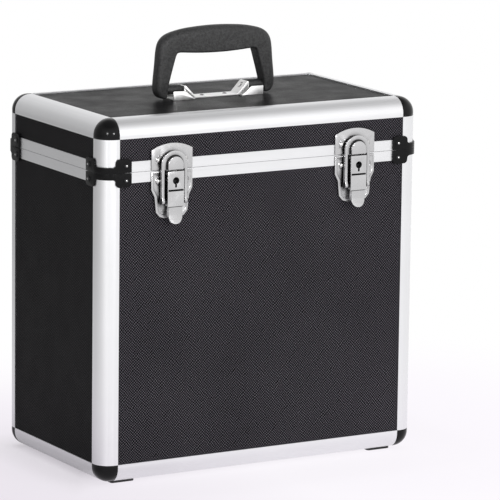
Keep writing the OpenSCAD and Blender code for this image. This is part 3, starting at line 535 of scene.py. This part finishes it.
def foam_box(node, name, body, floor_down, floor_thick):
    """The sheets of one half of the case, joined into one lining."""
    (x0, y0, z0), (x1, y1, z1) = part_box(node)
    t = wall_thick
    if floor_down:
        floor = ((x0, y0, z0), (x1, y1, z0 + floor_thick), 2, 1)
        w0, w1 = z0 + floor_thick + foam_gap, z1
    else:
        floor = ((x0, y0, z1 - floor_thick), (x1, y1, z1), 2, -1)
        w0, w1 = z0, z1 - floor_thick - foam_gap
    cut_list = [floor,
        ((x0, y0, w0), (x1, y0 + t, w1), 1, 1),
        ((x0, y1 - t, w0), (x1, y1, w1), 1, -1),
        ((x0, y0 + t + foam_gap, w0), (x0 + t, y1 - t - foam_gap, w1), 0, 1),
        ((x1 - t, y0 + t + foam_gap, w0), (x1, y1 - t - foam_gap, w1), 0, -1)]
    sheets = [foam_sheet(f"{name}_{i}", *cut) for i, cut in enumerate(cut_list)]
    bpy.ops.object.select_all(action="DESELECT")
    for sheet in sheets:
        sheet.select_set(True)
    bpy.context.view_layer.objects.active = sheets[0]
    bpy.ops.object.join()
    lining = bpy.context.object
    lining.name = name
    bpy.ops.object.shade_smooth_by_angle(angle=radians(50))
    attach(lining, body)
    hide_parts(node)


foam_box("body_lining", "body_foam", "case_body", True, wall_thick)
foam_box("lid_lining", "lid_foam", "case_lid", False, pad_thick)

# ---------- rivets ----------
# Domed steel rivets, nickel plated, that hold the guards, hinge leaves, latch plates and bracket
# to the boards. Each is set through a hole and its head stands on the piece that it holds.
rivet_metal = (0.60, 0.595, 0.59)
rim_shade_colour = (0.05, 0.05, 0.052)
gap_painted_shade = (0.035, 0.034, 0.034, 1)


def plated(name, colour, rough, scratch=0.12, dent=0.00002, crevice=0.0025, clear=0.85):
    """Nickel plate: bright, slightly wavy and scratched, with painted shade darkening it in
    narrow gaps.
    """
    made, tree, shader, place = new_finish(name, colour, rough, 1.0)
    cloud = blotches(tree, place, 55, 4)
    low = tuple(0.95 * c for c in colour)
    high = tuple(min(1.04 * c, 0.95) for c in colour)
    # painted shade: the colour goes dark where other surfaces close in within the crevice
    # distance
    gap = add_step(tree, "AmbientOcclusion", {"Distance": crevice}, samples=8)
    open_face = span(tree, gap.outputs["AO"], 0, 1, clear - 0.6, clear)
    clean = mixed(tree, cloud, low, high)
    shaded = add_step(tree, "Mix", {0: open_face, 6: gap_painted_shade, 7: clean}, data_type="RGBA")
    tree.links.new(shaded.outputs[2], shader.inputs["Base Color"])
    lines = blotches(tree, place, 1400, 3, 0.6, (1, 1, 0.03))
    scratches = span(tree, lines, 0, scratch, 0.58, 0.8)
    haze = span(tree, blotches(tree, place, 180, 5, 0.65), rough - 0.04, rough + 0.10)
    total = add_step(tree, "Math", {0: scratches, 1: haze}, operation="ADD")
    tree.links.new(total.outputs[0], shader.inputs["Roughness"])
    raise_surface(tree, shader, blotches(tree, place, 230, 2), dent, 0.5)
    return made


# the rivets' painted shade darkens the heads' edges where they meet the piece below
rivet_nickel = plated("rivet_nickel", rivet_metal, 0.16, crevice=0.0035)
give(["body_rivets", "lid_rivets"], rivet_nickel)
# the rivets of the guards are painted dark round the rim as shade, and only their crowns are
# bright
rivet_rim_painted_shade = plated("rivet_rim_painted_shade", rim_shade_colour, 0.4)
guard_rivet_x, crown_tilt = 0.135, 0.88
for name in ("body_rivets", "lid_rivets"):
    heads = nodes[name].data
    heads.materials.append(rivet_rim_painted_shade)
    for face in heads.polygons:
        upright = max(abs(face.normal.x), abs(face.normal.y))
        if abs(face.center.x) > guard_rivet_x and upright < crown_tilt:
            face.material_index = 1

# ---------- hinges ----------
# Two hinges of pressed steel leaves, rolled into knuckles round a plain steel pin. The leaves
# are riveted to the back of the body and of the lid.
hinge_metal, pin_metal = (0.66, 0.655, 0.65), (0.62, 0.615, 0.61)
leaf_rounding = 0.0003
hinge_plate = plated("hinge_plate", hinge_metal, 0.30, 0.15)
pin_bright = plated("pin_bright", pin_metal, 0.24)
softened("hinge_body_leaves", "lower_hinge_leaves", "case_body", hinge_plate,
    leaf_rounding)
softened("hinge_lid_leaves", "upper_hinge_leaves", "case_lid", hinge_plate,
    leaf_rounding)
give(["hinge_pins", "lever_pins", "handle_pins"], pin_bright)

# ---------- latches ----------
# Draw latches pressed from thin steel and nickel plated. A catch plate is riveted to the lid and
# a base plate with a rolled bead to the body; a lever with a keyhole and a finger tongue turns
# on the base, and a loop on the lever. The lock's case inside the lever is blackened steel, and
# the same black is painted as shade on the lever's back, keyhole, slit, fold and top edge, and
# in the loop's groove and under its cap.
latch_metal = (0.56, 0.557, 0.565)
# the plates' painted shade reaches five and a half millimetres, darkening them near the lever
# and the loop
latch_plate = plated("latch_plate", latch_metal, 0.24, scratch=0.05, dent=0.000006,
    crevice=0.0055, clear=0.95)
lock_black_and_painted_shade, tree, shader, place = new_finish("lock_black_and_painted_shade", (0.010, 0.010, 0.011), 0.45)
raise_surface(tree, shader, blotches(tree, place, 500, 4), 0.00005, 0.4)
oiled = blotches(tree, place, 130, 4)
tree.links.new(span(tree, oiled, 0.38, 0.6), shader.inputs["Roughness"])
# out is measured forward from the front face, h upward from the closing line
front_y, latch_mid_x = -0.103, 0.104
catch_rounding, base_rounding, lever_rounding, loop_rounding = 0.0004, 0.0003, 0.00035, 0.0005
plate_thick = 0.0012
top_edge_h, top_edge_drop = -0.0007, 0.0001
bead_inset, bead_width, bead_height = 0.0018, 0.0005, 0.0005
lever_proud, lever_half = 0.0095, 0.0090
lever_top_h = -0.0011
keyhole_h, keyhole_r = -0.0099, 0.0035
stem_low_h, stem_half = -0.0169, 0.0015
slit_h, slit_half, slit_reach = -0.0194, 0.0009, 0.0085
fold_high, fold_low = -0.0353, -0.0360
hole_slack = 0.0004
sheet_slack = 0.00005
groove_near, groove_far, cap_half = 0.0055, 0.00657, 0.0099
cap_under_low, cap_under_high = 0.0005, 0.0015


def bead_round(piece):
    """Rolls a low bead into a plate's front face, a little inside its outline and holes.

    The plate's top edge is lowered a tenth of a millimetre, clear of the open lever."""
    for vertex in piece.data.vertices:
        if vertex.co.z > closing_z + top_edge_h:
            vertex.co.z -= top_edge_drop
    bpy.ops.object.select_all(action="DESELECT")
    bpy.context.view_layer.objects.active = piece
    piece.select_set(True)
    bpy.ops.object.mode_set(mode="EDIT")
    bpy.ops.mesh.select_mode(type="FACE")
    bpy.ops.mesh.select_all(action="DESELECT")
    bpy.ops.object.mode_set(mode="OBJECT")
    for face in piece.data.polygons:
        out = front_y - face.center.y
        face.select = face.normal.y < -0.99 and abs(out - plate_thick) < sheet_slack
    bpy.ops.object.mode_set(mode="EDIT")
    bpy.ops.mesh.inset(thickness=bead_inset, depth=0, use_even_offset=False)
    bpy.ops.mesh.inset(thickness=bead_width, depth=bead_height, use_even_offset=False)
    bpy.ops.mesh.inset(thickness=bead_width, depth=-bead_height, use_even_offset=False)
    bpy.ops.object.mode_set(mode="OBJECT")


def paint_black_and_shade(piece, inside):
    """Gives the lock's black to the faces that a test picks by middle and normal; apart from the
    lock's case it stands as painted shade.
    """
    piece.data.materials.append(lock_black_and_painted_shade)
    for face in piece.data.polygons:
        if inside(face.center, face.normal):
            face.material_index = 1


def fold_line(piece):
    """Cuts the lever's sheet along the two sides of the fold over the finger tongue."""
    for h in (fold_high, fold_low):
        bpy.ops.object.select_all(action="DESELECT")
        bpy.context.view_layer.objects.active = piece
        piece.select_set(True)
        bpy.ops.object.mode_set(mode="EDIT")
        bpy.ops.mesh.select_all(action="SELECT")
        bpy.ops.mesh.bisect(plane_co=(0, 0, closing_z + h), plane_no=(0, 0, 1))
        bpy.ops.object.mode_set(mode="OBJECT")


def in_lever(mid_x):
    """Picks the lock's case, and as painted shade the sheet's back, the walls of the keyhole and
    the slit, the fold's crease and the top edge.
    """
    def inside(centre, normal):
        side, h, out = centre.x - mid_x, centre.z - closing_z, front_y - centre.y
        if out < lever_proud - plate_thick - sheet_slack:
            return abs(side) < lever_half - plate_thick + sheet_slack and h > fold_low
        # the fold's crease is painted black as shade
        crease = normal.y < -0.5 and fold_high > h > fold_low
        if normal.y < -0.96:
            return crease
        hole = side ** 2 + (h - keyhole_h) ** 2 < (keyhole_r + hole_slack) ** 2
        stem = abs(side) < stem_half and stem_low_h < h < keyhole_h
        slit = abs(side) < slit_reach and abs(h - slit_h) < slit_half + hole_slack
        top = normal.z > 0.3 and h > lever_top_h
        return hole or stem or slit or top or crease
    return inside


def in_loop(mid_x):
    """Picks the groove round the loop's cap and the cap's underside, which take black as painted
    shade.
    """
    def inside(centre, normal):
        side, h, out = centre.x - mid_x, centre.z - closing_z, front_y - centre.y
        groove = groove_near < out < groove_far and abs(side) < cap_half and h > 0
        under = normal.z < -0.5 and abs(side) < lever_half and cap_under_low < h < cap_under_high
        return groove or under
    return inside


for side, turn in (("left", -1), ("right", 1)):
    mid_x = turn * latch_mid_x
    softened(f"catch_{side}", f"{side}_catch_plate", "case_lid", latch_plate,
        catch_rounding)
    softened(f"latch_base_{side}", f"{side}_base_plate", "case_body",
        latch_plate, base_rounding, shape=bead_round)
    lever = softened(f"lever_{side}", f"{side}_lever", f"latch_lever_{side}",
        latch_plate, lever_rounding, 3, shape=fold_line)
    paint_black_and_shade(lever, in_lever(mid_x))
    loop = softened(f"loop_{side}", f"{side}_loop", f"latch_loop_{side}",
        latch_plate, loop_rounding, 3)
    paint_black_and_shade(loop, in_loop(mid_x))
give(["lock_bolt_left", "lock_bolt_right", "loop_pin_left", "loop_pin_right"], lock_black_and_painted_shade)

# ---------- handle bracket ----------
# One bright steel strap, riveted along the middle of the lid's top board, with an upright tab
# for each handle pin and an open trough round each tab.
bracket_metal = (0.95, 0.945, 0.94)
bracket_rounding = 0.0003
bracket_plate = plated("bracket_plate", bracket_metal, 0.40, 0.05, crevice=0.0004)
softened("handle_bracket", "strap_bracket", "case_lid", bracket_plate,
    bracket_rounding)

# ---------- handle ----------
# A hard black plastic handle, moulded with a full crown and a fine leather grain. Its feet turn
# on the bracket's two steel pins.
handle_colour = (0.020, 0.020, 0.021)
pore_colour, ridge_colour = (0.004, 0.004, 0.0045), (0.032, 0.032, 0.033)
grain_depth = 0.00028
handle_black, tree, shader, place = new_finish("handle_black", handle_colour, 0.50)
grain = add_step(tree, "TexVoronoi", {"Vector": place, "Scale": 620}, feature="SMOOTH_F1")
grain.inputs["Smoothness"].default_value = 0.5
speck = blotches(tree, place, 800, 4, 0.7)
height = add_step(tree, "Math", {0: grain.outputs["Distance"], 1: speck}, operation="ADD")
raise_surface(tree, shader, height.outputs[0], grain_depth, 0.75)
pores = span(tree, blotches(tree, place, 430, 3, 0.75), 0, 1, 0.36, 0.64)
tree.links.new(mixed(tree, pores, pore_colour, ridge_colour), shader.inputs["Base Color"])
tree.links.new(span(tree, speck, 0.42, 0.62), shader.inputs["Roughness"])
pivot_z, lid_z = 0.3717, 0.3623
handle_thick = 0.0158
foot_top, foot_share = lid_z + 0.012, 0.90
crown_rounding = 0.0072
full_weight_above, joint_weight_above = lid_z + 0.010, lid_z + 0.003
foot_weight = 0.3
lengthwise_within, side_face_beyond, on_line_within = 0.001, 0.005, 0.0005
hub_radius, hub_length, hub_x, hub_rounding = 0.0048, 0.0200, 0.0478, 0.0006
start_side, start_step = 0.001, 0.002
# sideways place and height over the lid of an outer and an inner point of the right half,
# from the crown down to the foot, in metres
handle_shape = [
    (0.0, 0.0725, 0.0, 0.0450),
    (0.0120, 0.0722, 0.0110, 0.0451),
    (0.0240, 0.0715, 0.0220, 0.0456),
    (0.0350, 0.0705, 0.0320, 0.0463),
    (0.0450, 0.0686, 0.0400, 0.0470),
    (0.0560, 0.0658, 0.0447, 0.0470),
    (0.0636, 0.0590, 0.0462, 0.0440),
    (0.0655, 0.0482, 0.0477, 0.0390),
    (0.0660, 0.0370, 0.0500, 0.0310),
    (0.0672, 0.0250, 0.0527, 0.0215),
    (0.0680, 0.0150, 0.0548, 0.0135),
    (0.0678, 0.0080, 0.0550, 0.0090),
    (0.0650, 0.0035, 0.0552, 0.0045),
    (0.0610, 0.0012, 0.0558, 0.0014),
]
handle_right = [((x_out, z_out + lid_z), (x_in, z_in + lid_z))
    for x_out, z_out, x_in, z_in in handle_shape]
bpy.ops.object.select_all(action="DESELECT")
bpy.ops.mesh.primitive_plane_add(size=start_side, rotation=(pi / 2, 0, 0))
handle = bpy.context.object
handle.name = "carry_handle_moulding"
bpy.ops.object.transform_apply(location=True, rotation=True, scale=True)
bpy.ops.object.mode_set(mode="EDIT")
bpy.ops.mesh.select_mode(type="VERT")
bpy.ops.mesh.select_all(action="DESELECT")
bpy.ops.object.mode_set(mode="OBJECT")
for vertex in handle.data.vertices:
    vertex.select = vertex.co.x > 0
bpy.ops.object.mode_set(mode="EDIT")
bpy.ops.mesh.delete(type="VERT")
bpy.ops.mesh.select_all(action="SELECT")
for _ in handle_right[1:]:
    bpy.ops.mesh.extrude_region_move(TRANSFORM_OT_translate={"value": (start_step, 0, 0)})
bpy.ops.object.mode_set(mode="OBJECT")
ribbon = sorted(handle.data.vertices, key=lambda v: (round(v.co.x, 5), -v.co.z))
for (outer, inner), upper, lower in zip(handle_right, ribbon[::2], ribbon[1::2]):
    upper.co = (outer[0], 0, outer[1])
    lower.co = (inner[0], 0, inner[1])
mirror = handle.modifiers.new("other_half", "MIRROR")
mirror.use_clip = True
thick = handle.modifiers.new("thickness", "SOLIDIFY")
thick.thickness = handle_thick
thick.offset = 0
for name in ("other_half", "thickness"):
    bpy.ops.object.modifier_apply(modifier=name)
bpy.ops.object.mode_set(mode="EDIT")
bpy.ops.mesh.select_all(action="SELECT")
bpy.ops.mesh.remove_doubles(threshold=0.00001)
bpy.ops.mesh.normals_make_consistent(inside=False)
bpy.ops.object.mode_set(mode="OBJECT")
for vertex in handle.data.vertices:
    if vertex.co.z < foot_top:
        vertex.co.y *= foot_share
# the outer edges are rounded fully, the inner edges and the foot a little, and those that run
# across a side face not at all
weights = handle.data.attributes.new("bevel_weight_edge", "FLOAT", "EDGE")
outer_line = [Vector((outer[0], 0, outer[1])) for outer, inner in handle_right]
for edge in handle.data.edges:
    ends = [handle.data.vertices[i].co for i in edge.vertices]
    lengthwise = abs(ends[0].y - ends[1].y) < lengthwise_within
    if lengthwise and abs(ends[0].y) > side_face_beyond:
        off_line = [min((Vector((abs(e.x), 0, e.z)) - p).length for p in outer_line)
            for e in ends]
        at_outside = [distance < on_line_within for distance in off_line]
        lowest = min(e.z for e in ends)
        full = all(at_outside) and lowest > full_weight_above
        weights.data[edge.index].value = 1.0 if full else foot_weight
        if at_outside[0] != at_outside[1] and lowest > joint_weight_above:
            weights.data[edge.index].value = 0.0
rounding = handle.modifiers.new("rounding", "BEVEL")
rounding.width = crown_rounding
rounding.segments = 4
rounding.limit_method = "WEIGHT"
rounding.use_clamp_overlap = False
smoothing = handle.modifiers.new("smoothing", "SUBSURF")
smoothing.levels = smoothing.render_levels = 2
for name in ("rounding", "smoothing"):
    bpy.ops.object.modifier_apply(modifier=name)
handle.data.materials.append(handle_black)

hubs = []
for turn in (-1, 1):
    bpy.ops.object.select_all(action="DESELECT")
    bpy.ops.mesh.primitive_cylinder_add(vertices=48, radius=hub_radius, depth=hub_length,
        location=(turn * hub_x, 0, pivot_z), rotation=(0, pi / 2, 0))
    hub = bpy.context.object
    bpy.ops.object.transform_apply(location=True, rotation=True, scale=True)
    hub.data.materials.append(handle_black)
    rounding = hub.modifiers.new("rounding", "BEVEL")
    rounding.width = hub_rounding
    rounding.segments = 2
    rounding.limit_method = "ANGLE"
    bpy.ops.object.modifier_apply(modifier="rounding")
    hubs.append(hub)
bpy.ops.object.select_all(action="DESELECT")
for piece in [handle] + hubs:
    piece.select_set(True)
bpy.context.view_layer.objects.active = handle
bpy.ops.object.join()
bpy.ops.object.shade_smooth_by_angle(angle=radians(40))
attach(handle, "carry_handle")
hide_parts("handle")
